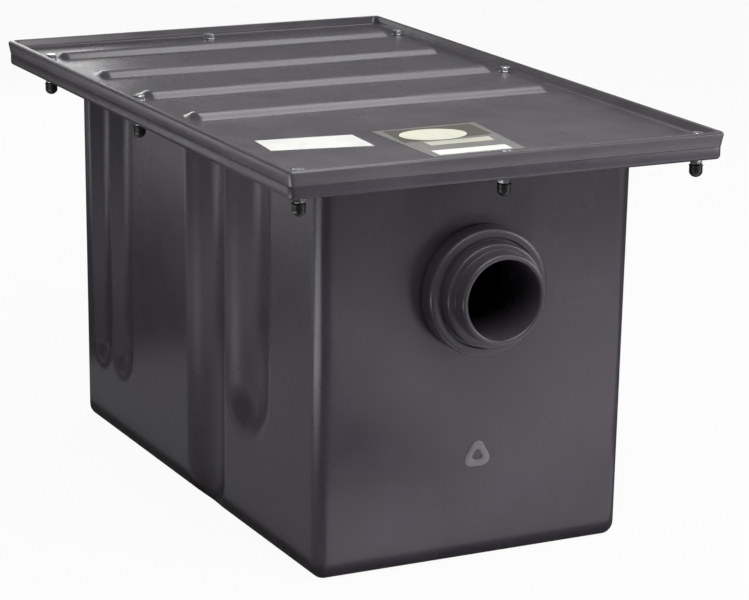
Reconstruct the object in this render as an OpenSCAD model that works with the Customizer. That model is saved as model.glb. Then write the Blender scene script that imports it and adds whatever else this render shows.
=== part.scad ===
// Box-shaped grease trap of moulded polyethylene, with a bolted tray lid,
// a pipe fitting on each end wall and two lift-out baffles inside.
// Origin at the middle of the base, +Z up, +X towards the inlet end. Millimetres.

/* [Tank] */
// Length of the tank at its base
tank_l = 578; // [500:1:680]
// Width of the tank at its base
tank_w = 320; // [280:1:400]
// Height from the base to the underside of the flange
tank_h = 376; // [340:1:440]
// Wall of the moulding
wall_t = 6; // [4:0.5:8]
// Radius of the tank's outer edges
edge_r = 13; // [10:0.5:18]
// How far each end wall leans out over the tank's height
end_draft = 3.4; // [0:0.1:6]
// How far each side wall leans out over the tank's height
side_draft = 2; // [0:0.1:4]

/* [Flange] */
// Overhang of the flange beyond each end wall
end_over = 60; // [52:1:75]
// Overhang of the flange beyond each side wall
side_over = 56; // [50:1:70]
// Thickness of the flange
flange_t = 12; // [9:0.5:16]
// Radius along the flange's lower edges and at its corners
flange_edge_r = 4; // [2:0.5:4.5]

/* [Side flutes] */
// Distance of the inlet baffle's slot from the inlet end
inlet_slot_in = 206; // [190:1:225]
// Distance of the outlet baffle's slot from the outlet end
outlet_slot_in = 78; // [74:1:90]
// Width of the flute behind the inlet baffle
flute_a_w = 80; // [60:1:90]
// Width of the flute in front of the inlet baffle
flute_b_w = 92; // [60:1:100]
// Width of the flute behind the outlet baffle
flute_c_w = 44; // [34:1:48]
// Width of the flute in front of the outlet baffle
flute_d_w = 50; // [36:1:60]
// Depth of the flutes beside the inlet baffle
inlet_flute_d = 13; // [9:0.5:15]
// Depth of the flutes beside the outlet baffle
outlet_flute_d = 8; // [6:0.5:10]
// Level at which the flute behind the inlet baffle would run out, just under the base
flute_a_foot = -5; // [-20:1:40]
// Height at which the flute in front of the inlet baffle ends
flute_b_foot = 100; // [60:1:140]
// Height at which the flutes beside the outlet baffle end
flute_cd_foot = 72; // [40:1:110]

/* [Lid] */
// Thickness of the lid's plate
lid_t = 5.5; // [4:0.5:6]
// Height of the lid's rim over its underside
rim_h = 13.5; // [11:0.5:16]
// Thickness of the rim
rim_t = 6; // [4:0.5:7]
// How far the rim leans out from its foot to its top
rim_flare = 2; // [0:0.1:3]
// Radius along the rim's top edge and at its corners
rim_edge_r = 2.5; // [1.5:0.1:3]
// Radius where the rim meets the plate
cove_r = 4; // [2:0.5:4]
// Number of stiffening ribs across the lid
rib_count = 4; // [3:1:4]
// Spacing of the ribs
rib_pitch = 115.5; // [100:0.5:118]
// Distance of the hindmost rib from the flange's back edge
rib_back_in = 76; // [62:1:90]
// Width of a rib
rib_w = 34; // [26:1:44]
// Height of a rib
rib_h = 5.5; // [3:0.1:6.5]
// Clearance between a rib's round end and the washers of the side screws
rib_end_clear = 4; // [1:0.5:12]

/* [Lid seal] */
// Width of the sealing strip
seal_w = 14; // [10:0.5:18]
// Thickness of the strip under the closed lid
seal_t = 3; // [2.5:0.1:4]
// How far the strip stands out of its groove, which is the gap under the lid
seal_proud = 0.5; // [0.3:0.1:1.5]
// Distance of the strip from the tank's mouth
seal_in = 9; // [7:0.5:14]
// Side clearance of the strip in its groove
seal_clear = 0.4; // [0.2:0.1:1]

/* [Fasteners] */
// Radius of a screw's shank
screw_r = 3; // [2.5:0.5:4]
// Radial clearance of the shank in holes and nuts
screw_clear = 0.35; // [0.3:0.05:0.8]
// Width across the flats of heads and nuts
hex_af = 10; // [8:0.5:11]
// Height of a screw's head
head_h = 4; // [3:0.1:5]
// Height of a nut
nut_h = 5; // [4:0.1:6]
// Radius of a washer
washer_r = 6; // [5.5:0.1:6.5]
// Thickness of a washer
washer_t = 1.4; // [1:0.1:2]
// How far a screw reaches out of its nut
screw_tip = 3.5; // [2:0.1:5]
// Radius of a nut's round cap
cap_r = 6.6; // [6:0.1:7.5]
// Height of the straight part of a cap
cap_skirt = 5.6; // [5:0.1:7]
// Free depth left in a cap below the screw
cap_room = 0.8; // [0.4:0.1:1.5]
// Clearance between the front screws' washers and the foot of the rim
front_rim_clear = 2; // [0.2:0.1:8]
// Clearance between the side screws' washers and the foot of the rim
side_rim_clear = 0.2; // [0.2:0.1:6]
// Clearance between the back screw's washer and the foot of the rim
back_rim_clear = 12; // [0.2:0.1:18]
// Distance of the hindmost side screws from the flange's back edge
rear_side_inset = 82; // [60:1:100]
// Place of the middle side screws
mid_screw_x = -28; // [-40:1:20]

/* [Pipe fittings] */
// Height of the pipe axis
pipe_z = 263; // [220:1:275]
// Radius of the waterway
pipe_bore_r = 37; // [30:0.5:39]
// Outer radius of the spigot
spigot_r = 42.5; // [41:0.1:44]
// Length of the spigot
spigot_l = 16; // [12:0.5:20]
// Radius of the collar behind the spigot
collar_r = 49; // [46:0.5:54]
// Length of the collar
collar_l = 12; // [8:0.5:14]
// Radius of the flange ring
ring_r = 60.5; // [57:0.5:64]
// Thickness of the flange ring
ring_l = 18; // [10:0.5:20]
// Edge radius of the flange ring
ring_edge_r = 3; // [1:0.1:4]
// Radius of the sleeve that passes the wall
sleeve_r = 45; // [42:0.5:47]
// Clearance of the sleeve in the wall and in its lock nut
sleeve_clear = 0.4; // [0.2:0.1:1]
// How far the sleeve reaches out of its lock nut
sleeve_tip = 3; // [1:0.5:6]
// Thickness of the fitting's gasket
pipe_gasket_t = 3; // [2:0.5:4]
// How far the flat seat stands out of the end wall
seat_proud = 0.6; // [0.4:0.1:2]
// How far the flat seat stays inside the flange ring's edge
seat_in = 1; // [0.5:0.1:3]
// Thickness of the lock nut
locknut_t = 12; // [8:0.5:14]
// Width across the flats of the eight-sided lock nut
locknut_af = 112; // [104:1:118]

/* [Baffles] */
// Thickness of a baffle plate
baffle_t = 5; // [4:0.5:6]
// Clearance of a plate in its slot
slot_clear = 0.6; // [0.4:0.1:1.2]
// Clearance of a plate's side edges from the wall
baffle_edge_clear = 1.2; // [0.6:0.1:3]
// Distance of a plate's top edge from the top of the flange
baffle_drop = 3; // [2:0.5:12]
// Cut-off at a plate's lower corners
baffle_corner = 14; // [12:0.5:20]
// Length of the hand hole
hand_l = 96; // [70:1:120]
// Height of the hand hole
hand_h = 30; // [24:1:36]
// Distance of the hand hole's middle from the plate's top edge
hand_drop = 34; // [28:1:50]
// Width of the passage under the outlet baffle
passage_w = 190; // [120:1:220]
// Height of the passage under the outlet baffle
passage_h = 60; // [40:1:80]
// Width of the window in the inlet baffle
window_w = 150; // [100:1:200]
// Height of the window in the inlet baffle
window_h = 66; // [40:1:80]
// Height of the window's lower edge over the base
window_z = 57; // [40:1:90]
// Corner radius of the window
window_r = 3; // [2:0.5:18]

/* [Hidden] */
$fn = 64;
tank_fn = 32;
edge_fn = 24;
past = 1;

tank_black = "#2f2d31";
lid_black = "#3a383c";
fitting_black = "#232225";
rubber_black = "#19181a";
baffle_grey = "#4a484c";
steel = "#c2c3c6";

// Levels from the base up
flange_top = tank_h + flange_t;
lid_z = flange_top + seal_proud;
floor_z = lid_z + lid_t;
rim_top = lid_z + rim_h;
washer_top = floor_z + washer_t;
nut_top = tank_h - washer_t;
cap_top = nut_top - nut_h;
groove_z = flange_top + seal_proud - seal_t;

// Half sizes of the flange, the mouth and the tank's inside
flange_x = tank_l / 2 + end_draft + end_over;
flange_y = tank_w / 2 + side_draft + side_over;
mouth_x = tank_l / 2 + end_draft * flange_top / tank_h - wall_t;
mouth_y = tank_w / 2 + side_draft * flange_top / tank_h - wall_t;
inner_y = tank_w / 2 - wall_t;

// Sealing strip, from the mouth outwards
seal_x = mouth_x + seal_in;
seal_y = mouth_y + seal_in;
seal_corner_r = edge_r;

// Baffle slots between the flutes
slot_w = baffle_t + 2 * slot_clear;
inlet_slot_x = tank_l / 2 - inlet_slot_in;
outlet_slot_x = -tank_l / 2 + outlet_slot_in;
baffle_top = flange_top - baffle_drop;

// Radius of a flute of a given width and depth, and half the width of the ridge it makes inside
function flute_r(w, d) = (w * w / 4 + d * d) / (2 * d);
function ridge_half(w, d) = sqrt(pow(flute_r(w, d) + wall_t, 2) - pow(flute_r(w, d) - d + wall_t, 2));

flute_a_x = inlet_slot_x - slot_w / 2 - ridge_half(flute_a_w, inlet_flute_d);
flute_b_x = inlet_slot_x + slot_w / 2 + ridge_half(flute_b_w, inlet_flute_d);
flute_c_x = outlet_slot_x - slot_w / 2 - ridge_half(flute_c_w, outlet_flute_d);
flute_d_x = outlet_slot_x + slot_w / 2 + ridge_half(flute_d_w, outlet_flute_d);

// Screw places: the corners at the inlet end, the sides and the middle of each end
hole_r = screw_r + screw_clear;
washer_in = rim_t + cove_r + washer_r;
front_x = flange_x - washer_in - front_rim_clear;
side_y = flange_y - washer_in - side_rim_clear;
rear_side_x = -flange_x + rear_side_inset;
back_x = -flange_x + washer_in + back_rim_clear;
SIDE_SCREWS_X = [front_x, mid_screw_x, rear_side_x];
SCREW_PLACES = concat(
    [for (x = SIDE_SCREWS_X, side = [-1, 1]) [x, side * side_y]],
    [[front_x, 0], [back_x, 0]]
);

// Pipe fitting, outwards along its axis
seat_out_x = tank_l / 2 + end_draft + seat_proud;
seat_in_x = tank_l / 2 - wall_t;
ring_x = seat_out_x + pipe_gasket_t;
collar_x = ring_x + ring_l;
spigot_x = collar_x + collar_l;
pipe_end_x = spigot_x + spigot_l;
sleeve_end_x = seat_in_x - locknut_t - sleeve_tip;
spigot_edge_r = 1.2;
seat_r = ring_r - seat_in;

// Rib of the lid: a round back cut by the plate
rib_r = (rib_w * rib_w / 4 + rib_h * rib_h) / (2 * rib_h);
rib_axis_z = floor_z + rib_h - rib_r;
rib_end_y = side_y - washer_r - rib_end_clear - rib_w / 2;
rib_hollow_y = inner_y - rib_w;

// Places the children at the four corners of a rectangle
module at_corners(x, y) {
    for (sx = [-1, 1], sy = [-1, 1])
        translate([sx * x, sy * y, 0])
            children();
}

// Places the children at every screw
module at_screws(z) {
    for (place = SCREW_PLACES)
        translate([place[0], place[1], z])
            children();
}

// Mirrors a copy of the children to the other side wall
module both_sides() {
    children();
    mirror([0, 1, 0])
        children();
}

// Turns a revolved part from the Z axis on to the pipe axis
module on_pipe_axis() {
    translate([0, 0, pipe_z])
        rotate([0, 90, 0])
            children();
}

// Ball for rounding an edge, whose flat-topped facets reach its full radius
module ball(r, sides) {
    sphere(r / cos(180 / sides), $fn = sides);
}

// Tapered box with round edges, drawn in from the tank's outside by an inset
module body_form(inset, top_z) {
    r = edge_r - inset;
    lean = top_z / tank_h;
    hull() {
        at_corners(tank_l / 2 - edge_r, tank_w / 2 - edge_r)
            translate([0, 0, edge_r])
                ball(r, tank_fn);
        at_corners(tank_l / 2 + end_draft * lean - edge_r, tank_w / 2 + side_draft * lean - edge_r)
            translate([0, 0, top_z - past])
                cylinder(r = r, h = past, $fn = tank_fn);
    }
}

// Upright bar with a round foot, which cuts one flute
module flute_bar(w, d, foot, grow) {
    r = flute_r(w, d) + grow;
    end_z = foot + w / 2;
    translate([0, -tank_w / 2 - flute_r(w, d) + d, 0])
        rotate_extrude()
            union() {
                translate([0, end_z])
                    square([r, flange_top + past - end_z]);
                intersection() {
                    translate([0, end_z])
                        circle(r);
                    translate([0, end_z - r])
                        square([r, 2 * r]);
                }
            }
}

// The flutes of both side walls; grown by the wall, they are the ridges inside
module flutes(grow) {
    both_sides() {
        translate([flute_a_x, 0, 0])
            flute_bar(flute_a_w, inlet_flute_d, flute_a_foot, grow);
        translate([flute_b_x, 0, 0])
            flute_bar(flute_b_w, inlet_flute_d, flute_b_foot, grow);
        translate([flute_c_x, 0, 0])
            flute_bar(flute_c_w, outlet_flute_d, flute_cd_foot, grow);
        translate([flute_d_x, 0, 0])
            flute_bar(flute_d_w, outlet_flute_d, flute_cd_foot, grow);
    }
}

// Outward flange, round along its lower edges and flat on top
module flange_plate() {
    hull()
        at_corners(flange_x - flange_edge_r, flange_y - flange_edge_r) {
            translate([0, 0, tank_h + flange_edge_r])
                ball(flange_edge_r, edge_fn);
            translate([0, 0, flange_top - past])
                cylinder(r = flange_edge_r, h = past, $fn = edge_fn);
        }
}

// Rectangle with round corners
module round_rect(x, y, r) {
    square([2 * x, 2 * (y - r)], center = true);
    square([2 * (x - r), 2 * y], center = true);
    for (sx = [-1, 1], sy = [-1, 1])
        translate([sx * (x - r), sy * (y - r)])
            circle(r);
}

// Flat strip round the mouth, widened on both sides by a clearance
module seal_outline(clear) {
    difference() {
        round_rect(seal_x + seal_w + clear, seal_y + seal_w + clear, seal_corner_r + seal_w + clear);
        round_rect(seal_x - clear, seal_y - clear, seal_corner_r - clear);
    }
}

// Flat seats for the pipe fittings on both end walls
module pipe_seats() {
    for (side = [0, 1])
        mirror([side, 0, 0])
            on_pipe_axis()
                translate([0, 0, seat_in_x])
                    cylinder(r = seat_r, h = seat_out_x - seat_in_x);
}

module tank() {
    color(tank_black)
        difference() {
            union() {
                difference() {
                    union() {
                        difference() {
                            body_form(0, flange_top);
                            flutes(0);
                        }
                        flange_plate();
                    }
                    difference() {
                        body_form(wall_t, flange_top + 2 * past);
                        flutes(wall_t);
                    }
                }
                pipe_seats();
            }
            translate([0, 0, groove_z])
                linear_extrude(seal_t)
                    seal_outline(seal_clear);
            at_screws(tank_h - past)
                cylinder(r = hole_r, h = flange_t + 2 * past);
            for (side = [0, 1])
                mirror([side, 0, 0])
                    on_pipe_axis()
                        translate([0, 0, seat_in_x - past])
                            cylinder(r = sleeve_r + sleeve_clear, h = seat_out_x - seat_in_x + 2 * past);
        }
}

module lid_gasket() {
    color(rubber_black)
        translate([0, 0, groove_z])
            linear_extrude(seal_t)
                seal_outline(0);
}

// Outside of the lid, flat below, with a rim that leans out to a round top edge
module lid_form() {
    hull() {
        at_corners(flange_x - rim_edge_r, flange_y - rim_edge_r)
            translate([0, 0, lid_z])
                cylinder(r = rim_edge_r, h = past, $fn = edge_fn);
        at_corners(flange_x + rim_flare - rim_edge_r, flange_y + rim_flare - rim_edge_r)
            translate([0, 0, rim_top - rim_edge_r])
                ball(rim_edge_r, edge_fn);
    }
}

// Hollow of the tray, with a round cove along its floor
module tray_form() {
    hull() {
        at_corners(flange_x - rim_t - cove_r, flange_y - rim_t - cove_r)
            translate([0, 0, floor_z + cove_r])
                ball(cove_r, edge_fn);
        at_corners(flange_x + rim_flare - rim_t - cove_r, flange_y + rim_flare - rim_t - cove_r)
            translate([0, 0, rim_top])
                cylinder(r = cove_r, h = past, $fn = edge_fn);
    }
}

// Round-ended bar across the lid, of which a rib shows the top
module rib_bar(r, end_y) {
    rotate([90, 0, 0])
        rotate_extrude()
            intersection() {
                union() {
                    translate([0, -end_y])
                        square([r, 2 * end_y]);
                    for (end = [-1, 1])
                        translate([0, end * end_y])
                            circle(r);
                }
                translate([0, -end_y - r])
                    square([r, 2 * (end_y + r)]);
            }
}

// Places the children at every rib's axis
module at_ribs() {
    for (i = [0 : rib_count - 1])
        translate([-flange_x + rib_back_in + i * rib_pitch, 0, rib_axis_z])
            children();
}

module lid() {
    color(lid_black)
        difference() {
            union() {
                difference() {
                    lid_form();
                    tray_form();
                }
                intersection() {
                    at_ribs()
                        rib_bar(rib_r, rib_end_y);
                    translate([-flange_x, -flange_y, floor_z - lid_t / 2])
                        cube([2 * flange_x, 2 * flange_y, lid_t / 2 + rib_h + past]);
                }
            }
            at_ribs()
                rib_bar(rib_r - lid_t, rib_hollow_y);
            at_screws(lid_z - past)
                cylinder(r = hole_r, h = lid_t + 2 * past);
        }
}

// Hexagonal bar of a given width across the flats
module hex_bar(h) {
    cylinder(d = hex_af / cos(30), h = h, $fn = 6);
}

module lid_screws() {
    color(steel)
        at_screws(0)
            union() {
                translate([0, 0, washer_top])
                    hex_bar(head_h);
                translate([0, 0, cap_top - screw_tip])
                    cylinder(r = screw_r, h = washer_top - cap_top + screw_tip);
            }
}

// Flat ring under a head or a nut
module washer() {
    difference() {
        cylinder(r = washer_r, h = washer_t);
        translate([0, 0, -past])
            cylinder(r = hole_r, h = washer_t + 2 * past);
    }
}

module screw_washers() {
    color(steel)
        at_screws(floor_z)
            washer();
}

module nut_washers() {
    color(steel)
        at_screws(nut_top)
            washer();
}

module lid_nuts() {
    color(steel)
        at_screws(cap_top)
            difference() {
                hex_bar(nut_h);
                translate([0, 0, -past])
                    cylinder(r = hole_r, h = nut_h + 2 * past);
            }
}

module nut_caps() {
    color(rubber_black)
        at_screws(cap_top)
            difference() {
                rotate_extrude()
                    union() {
                        translate([0, -cap_skirt])
                            square([cap_r, cap_skirt]);
                        intersection() {
                            translate([0, -cap_skirt])
                                circle(cap_r);
                            translate([0, -cap_skirt - cap_r])
                                square([cap_r, cap_r]);
                        }
                    }
                translate([0, 0, -screw_tip - cap_room])
                    cylinder(r = hole_r, h = screw_tip + cap_room + past);
            }
}

// Section of a collar from one radius to another, with a round outer edge
module collar_section(r_in, r_out, z0, z1, edge) {
    translate([r_in, z0])
        square([r_out - edge - r_in, z1 - z0]);
    translate([r_in, z0])
        square([r_out - r_in, z1 - edge - z0]);
    translate([r_out - edge, z1 - edge])
        circle(edge);
}

// Pipe fitting for the inlet end: sleeve, flange ring, collar and spigot in one moulding
module pipe_fitting() {
    color(fitting_black)
        on_pipe_axis()
            rotate_extrude()
                union() {
                    translate([pipe_bore_r, sleeve_end_x])
                        square([sleeve_r - pipe_bore_r, ring_x - sleeve_end_x + past]);
                    collar_section(pipe_bore_r, ring_r, ring_x, collar_x, ring_edge_r);
                    collar_section(pipe_bore_r, collar_r, collar_x - past, spigot_x, spigot_edge_r);
                    collar_section(pipe_bore_r, spigot_r, spigot_x - past, pipe_end_x, spigot_edge_r);
                }
}

// Rubber ring between the flange ring and the seat
module pipe_gasket() {
    color(rubber_black)
        on_pipe_axis()
            translate([0, 0, seat_out_x])
                difference() {
                    cylinder(r = ring_r, h = pipe_gasket_t);
                    translate([0, 0, -past])
                        cylinder(r = sleeve_r + sleeve_clear, h = pipe_gasket_t + 2 * past);
                }
}

// Eight-sided nut that draws the fitting up from inside
module pipe_locknut() {
    color(fitting_black)
        on_pipe_axis()
            translate([0, 0, seat_in_x - locknut_t])
                difference() {
                    cylinder(d = locknut_af / cos(180 / 8), h = locknut_t, $fn = 8);
                    translate([0, 0, -past])
                        cylinder(r = sleeve_r + sleeve_clear, h = locknut_t + 2 * past);
                }
}

module inlet_fitting() {
    pipe_fitting();
}

module inlet_gasket() {
    pipe_gasket();
}

module inlet_locknut() {
    pipe_locknut();
}

module outlet_fitting() {
    mirror([1, 0, 0])
        pipe_fitting();
}

module outlet_gasket() {
    mirror([1, 0, 0])
        pipe_gasket();
}

module outlet_locknut() {
    mirror([1, 0, 0])
        pipe_locknut();
}

// Slot with round ends, lying along X
module round_slot(l, h) {
    square([l - h, h], center = true);
    for (end = [-1, 1])
        translate([end * (l - h) / 2, 0])
            circle(h / 2);
}

// Outline of a baffle plate with its hand hole, seen along the tank
module baffle_outline() {
    half_w = inner_y - baffle_edge_clear;
    difference() {
        polygon([
            [-half_w + baffle_corner, wall_t],
            [half_w - baffle_corner, wall_t],
            [half_w, wall_t + baffle_corner],
            [half_w, baffle_top],
            [-half_w, baffle_top],
            [-half_w, wall_t + baffle_corner]
        ]);
        translate([0, baffle_top - hand_drop])
            round_slot(hand_l, hand_h);
    }
}

// Stands a flat outline across the tank
module baffle_plate(x) {
    color(baffle_grey)
        translate([x - baffle_t / 2, 0, 0])
            rotate([90, 0, 90])
                linear_extrude(baffle_t)
                    children();
}

module inlet_baffle() {
    baffle_plate(inlet_slot_x)
        difference() {
            baffle_outline();
            translate([0, window_z + window_h / 2])
                round_rect(window_w / 2, window_h / 2, window_r);
        }
}

module outlet_baffle() {
    baffle_plate(outlet_slot_x)
        difference() {
            baffle_outline();
            translate([-passage_w / 2, wall_t - past])
                square([passage_w, passage_h + past]);
        }
}

tank();
lid_gasket();
lid();
lid_screws();
screw_washers();
nut_washers();
lid_nuts();
nut_caps();
inlet_fitting();
inlet_gasket();
inlet_locknut();
outlet_fitting();
outlet_gasket();
outlet_locknut();
inlet_baffle();
outlet_baffle();
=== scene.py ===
import math

import bmesh
import bpy
import numpy as np
from mathutils import Matrix, Vector


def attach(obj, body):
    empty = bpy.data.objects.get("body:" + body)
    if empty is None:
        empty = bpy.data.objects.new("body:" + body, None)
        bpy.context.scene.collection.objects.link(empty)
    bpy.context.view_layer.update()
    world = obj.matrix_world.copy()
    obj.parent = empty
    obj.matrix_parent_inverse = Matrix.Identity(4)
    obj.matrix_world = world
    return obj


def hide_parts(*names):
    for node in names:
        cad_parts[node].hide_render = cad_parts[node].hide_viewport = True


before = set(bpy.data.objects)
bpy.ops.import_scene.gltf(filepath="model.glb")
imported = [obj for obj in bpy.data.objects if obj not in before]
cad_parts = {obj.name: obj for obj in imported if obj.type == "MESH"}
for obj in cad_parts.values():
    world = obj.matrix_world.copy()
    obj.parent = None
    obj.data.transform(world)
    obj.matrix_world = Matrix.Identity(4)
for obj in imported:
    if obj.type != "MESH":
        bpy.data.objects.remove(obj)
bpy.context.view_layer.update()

scene = bpy.context.scene
scene.view_settings.view_transform = "Standard"

# Sizes in millimetres, as the solids have them apart from small edges, the lid's lip and the ribs' ends
MM = 0.001
TANK_L, TANK_W, TANK_H = 578.0, 320.0, 376.0
WALL, EDGE_R = 6.0, 13.0
END_DRAFT, SIDE_DRAFT = 3.4, 2.0
FLANGE_X, FLANGE_Y, FLANGE_TOP = 352.4, 218.0, 388.0
FLANGE_EDGE_R, FLANGE_CORNER_R, UNDER_FLANGE_R = 4.0, 4.5, 5.0
MATING_EDGE_R, LIP_DROP, MOUTH_R, LEAST_R = 0.2, 0.3, 2.0, 0.8
LID_Z, LID_FLOOR, RIM_TOP = 388.5, 394.0, 402.0
RIM_T, RIM_FLARE, RIM_EDGE_R, RIM_INNER_R, COVE_R = 6.0, 2.0, 2.5, 1.6, 4.0
LID_T = LID_FLOOR - LID_Z
LID_CORNER_R, LIP_CORNER_R, LID_SHARP = 5.0, 4.0, 40.0
RIB_X = [-276.4 + 115.5 * i for i in range(4)]
RIB_W, RIB_H, RIB_END_Y, RIB_END_STEEP = 34.0, 5.5, 174.8, 2.2
SEAL_IN, SEAL_W, SEAL_CLEAR, GROOVE_Z = 9.0, 14.0, 0.4, 385.5
PIPE_Z = 263.0
SEAT_R, SEAT_IN, SEAT_OUT = 59.5, 283.0, 293.0
SLEEVE_R, BORE_R, SPIGOT_R, COLLAR_R, RING_R = 45.0, 37.0, 42.5, 49.0, 60.5
SLEEVE_CLEAR = 0.4
SLEEVE_END, RING_X, COLLAR_X, SPIGOT_X, PIPE_END = 268.0, 296.0, 314.0, 326.0, 342.0
SCREW_R, HOLE_R, HEX_AF = 3.0, 3.35, 10.0
WASHER_R, WASHER_T, HEAD_H, NUT_H = 6.0, 1.4, 4.0, 5.0
NUT_TOP = TANK_H - WASHER_T
CAP_TOP = NUT_TOP - NUT_H
SCREW_TIP, CAP_R, CAP_SKIRT, CAP_ROOM = 3.5, 6.6, 5.6, 0.8
# How far a cutter reaches past what it cuts
PAST = 2
SCREW_PLACES = [
    (x, side * 201.8) for x in (334.4, -28.0, -270.4) for side in (-1, 1)
] + [(334.4, 0.0), (-324.4, 0.0)]
# Flutes of the side walls: middle, width, depth and the height of the round foot
FLUTES = [
    (38.0, 80.0, 13.0, -5.0),
    (133.8, 92.0, 13.0, 100.0),
    (-238.2, 44.0, 8.0, 72.0),
    (-181.1, 50.0, 8.0, 72.0),
]
FLUTE_SOFTNESS = 6.0


# Curves and sections

def quarter_turn(steps, first=0):
    """Angles from 0 to a right angle in equal steps."""
    return [math.pi / 2 * step / steps for step in range(first, steps + 1)]


def full_turn(count):
    """Angles of points spread evenly round a circle."""
    return [2 * math.pi * i / count for i in range(count)]


def smooth_min(a, b, k):
    """The smaller of two heights, with a round change over of size k."""
    h = np.clip(0.5 + 0.5 * (b - a) / k, 0.0, 1.0)
    return b * (1 - h) + a * h - k * h * (1 - h)


def flute_wall(x, z, grow):
    """Half width of the tank that the flutes leave at a place along it."""
    wall = np.full_like(x, 1.0e3)
    for middle, width, depth, foot in FLUTES:
        radius = (width * width / 4 + depth * depth) / (2 * depth)
        axis = TANK_W / 2 + radius - depth
        drop = max(0.0, foot + width / 2 - z)
        away = (x - middle) ** 2 + drop ** 2
        inside = (radius + grow) ** 2 - away
        bar = axis - np.sqrt(np.maximum(inside, 0.0)) + np.where(inside > 0, 0.0, 1.0e3)
        wall = np.minimum(wall, bar)
    return wall


def outline(half_x, half_y, corner_r, z, counts, side=None):
    """Points round a rectangle with round corners; side gives the long walls' half width."""
    n_long, n_short, n_corner = counts
    along = np.linspace(-1, 1, n_long + 1) * (half_x - corner_r)
    across = np.linspace(-1, 1, n_short + 1) * (half_y - corner_r)
    reach = np.full_like(along, half_y) if side is None else side(along)
    points = []
    for turn in range(4):
        start = math.radians(-90 + 90 * turn)
        cx = (half_x - corner_r) * (1 if turn in (0, 1) else -1)
        cy = (half_y - corner_r) * (1 if turn in (1, 2) else -1)
        if turn == 0:
            points += list(zip(along, -reach))
        elif turn == 1:
            points += [(half_x, y) for y in across]
        elif turn == 2:
            points += list(zip(along[::-1], reach[::-1]))
        else:
            points += [(-half_x, y) for y in across[::-1]]
        for step in range(1, n_corner):
            a = start + math.pi / 2 * step / n_corner
            points.append((cx + corner_r * math.cos(a), cy + corner_r * math.sin(a)))
    flat = np.array(points, float)
    return np.column_stack([flat, np.full(len(flat), z)])


def rounded_section(corners, steps=5):
    """Points along a closed section whose corners (r, z, radius) are rounded."""
    points = []
    total = len(corners)
    for i, (r, z, radius) in enumerate(corners):
        here = Vector((r, z))
        back = Vector(corners[i - 1][:2]) - here
        ahead = Vector(corners[(i + 1) % total][:2]) - here
        angle = back.angle(ahead)
        if radius <= 0 or angle > math.radians(179):
            points.append(tuple(here))
            continue
        reach = min(radius / math.tan(angle / 2), 0.49 * back.length, 0.49 * ahead.length)
        first, last = here + back.normalized() * reach, here + ahead.normalized() * reach
        for step in range(steps + 1):
            t = step / steps
            points.append(tuple(first * (1 - t) ** 2 + here * 2 * t * (1 - t) + last * t * t))
    return points


# Meshes

def loft(rings, caps=True):
    """Vertices and faces of a skin over equal rings, with both ends closed by flat faces."""
    count = len(rings[0])
    verts = np.concatenate(rings)
    faces = []
    for row in range(len(rings) - 1):
        low, high = row * count, (row + 1) * count
        for i in range(count):
            j = (i + 1) % count
            faces.append((low + i, low + j, high + j, high + i))
    if caps:
        faces.append(tuple(range(count))[::-1])
        faces.append(tuple(range(len(verts) - count, len(verts))))
    return verts, faces


def turned(section, segments):
    """Vertices and faces of a closed section (r, z) turned about the Z axis."""
    count = len(section)
    verts, faces = [], []
    for s, a in enumerate(full_turn(segments)):
        verts += [(r * math.cos(a), r * math.sin(a), z) for r, z in section]
        low, high = s * count, ((s + 1) % segments) * count
        for i in range(count):
            j = (i + 1) % count
            faces.append((low + i, high + i, high + j, low + j))
    return np.array(verts, float), faces


def plain_mesh(name, verts, faces, sharp=35.0):
    """A mesh in metres from points in millimetres, closed, facing outwards and smooth."""
    mesh = bpy.data.meshes.new(name)
    mesh.from_pydata((np.asarray(verts, float) * MM).tolist(), [], faces)
    tidy_mesh(mesh, sharp)
    return mesh


def tidy_mesh(mesh, sharp=35.0):
    """Joins points that meet, turns faces outwards and marks edges sharper than an angle."""
    bm = bmesh.new()
    bm.from_mesh(mesh)
    bmesh.ops.remove_doubles(bm, verts=bm.verts, dist=1.0e-6)
    bmesh.ops.dissolve_degenerate(bm, dist=1.0e-6, edges=bm.edges)
    bmesh.ops.recalc_face_normals(bm, faces=bm.faces)
    bm.to_mesh(mesh)
    bm.free()
    mesh.polygons.foreach_set("use_smooth", [True] * len(mesh.polygons))
    mesh.set_sharp_from_angle(angle=math.radians(sharp))


def linked(name, mesh):
    obj = bpy.data.objects.new(name, mesh)
    scene.collection.objects.link(obj)
    return obj


def evaluated_mesh(obj):
    """The object's mesh with its modifiers applied."""
    graph = bpy.context.evaluated_depsgraph_get()
    return bpy.data.meshes.new_from_object(obj.evaluated_get(graph))


def carve(obj, cutters):
    """Applies (operation, mesh) booleans in turn and removes the tools."""
    for operation, mesh in cutters:
        tool = linked("tool", mesh)
        modifier = obj.modifiers.new("carve", "BOOLEAN")
        modifier.operation = operation
        modifier.solver = "EXACT"
        modifier.object = tool
        result = evaluated_mesh(obj)
        obj.modifiers.remove(modifier)
        obj.data = result
        bpy.data.objects.remove(tool)


def piece(name, mesh, material, body, nodes=()):
    """Puts a finished piece on its body and hides the CAD nodes it replaces."""
    obj = linked(name, mesh)
    mesh.materials.clear()
    mesh.materials.append(material)
    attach(obj, body)
    if nodes:
        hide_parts(*nodes)
    return obj


# Shader node groups

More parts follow.
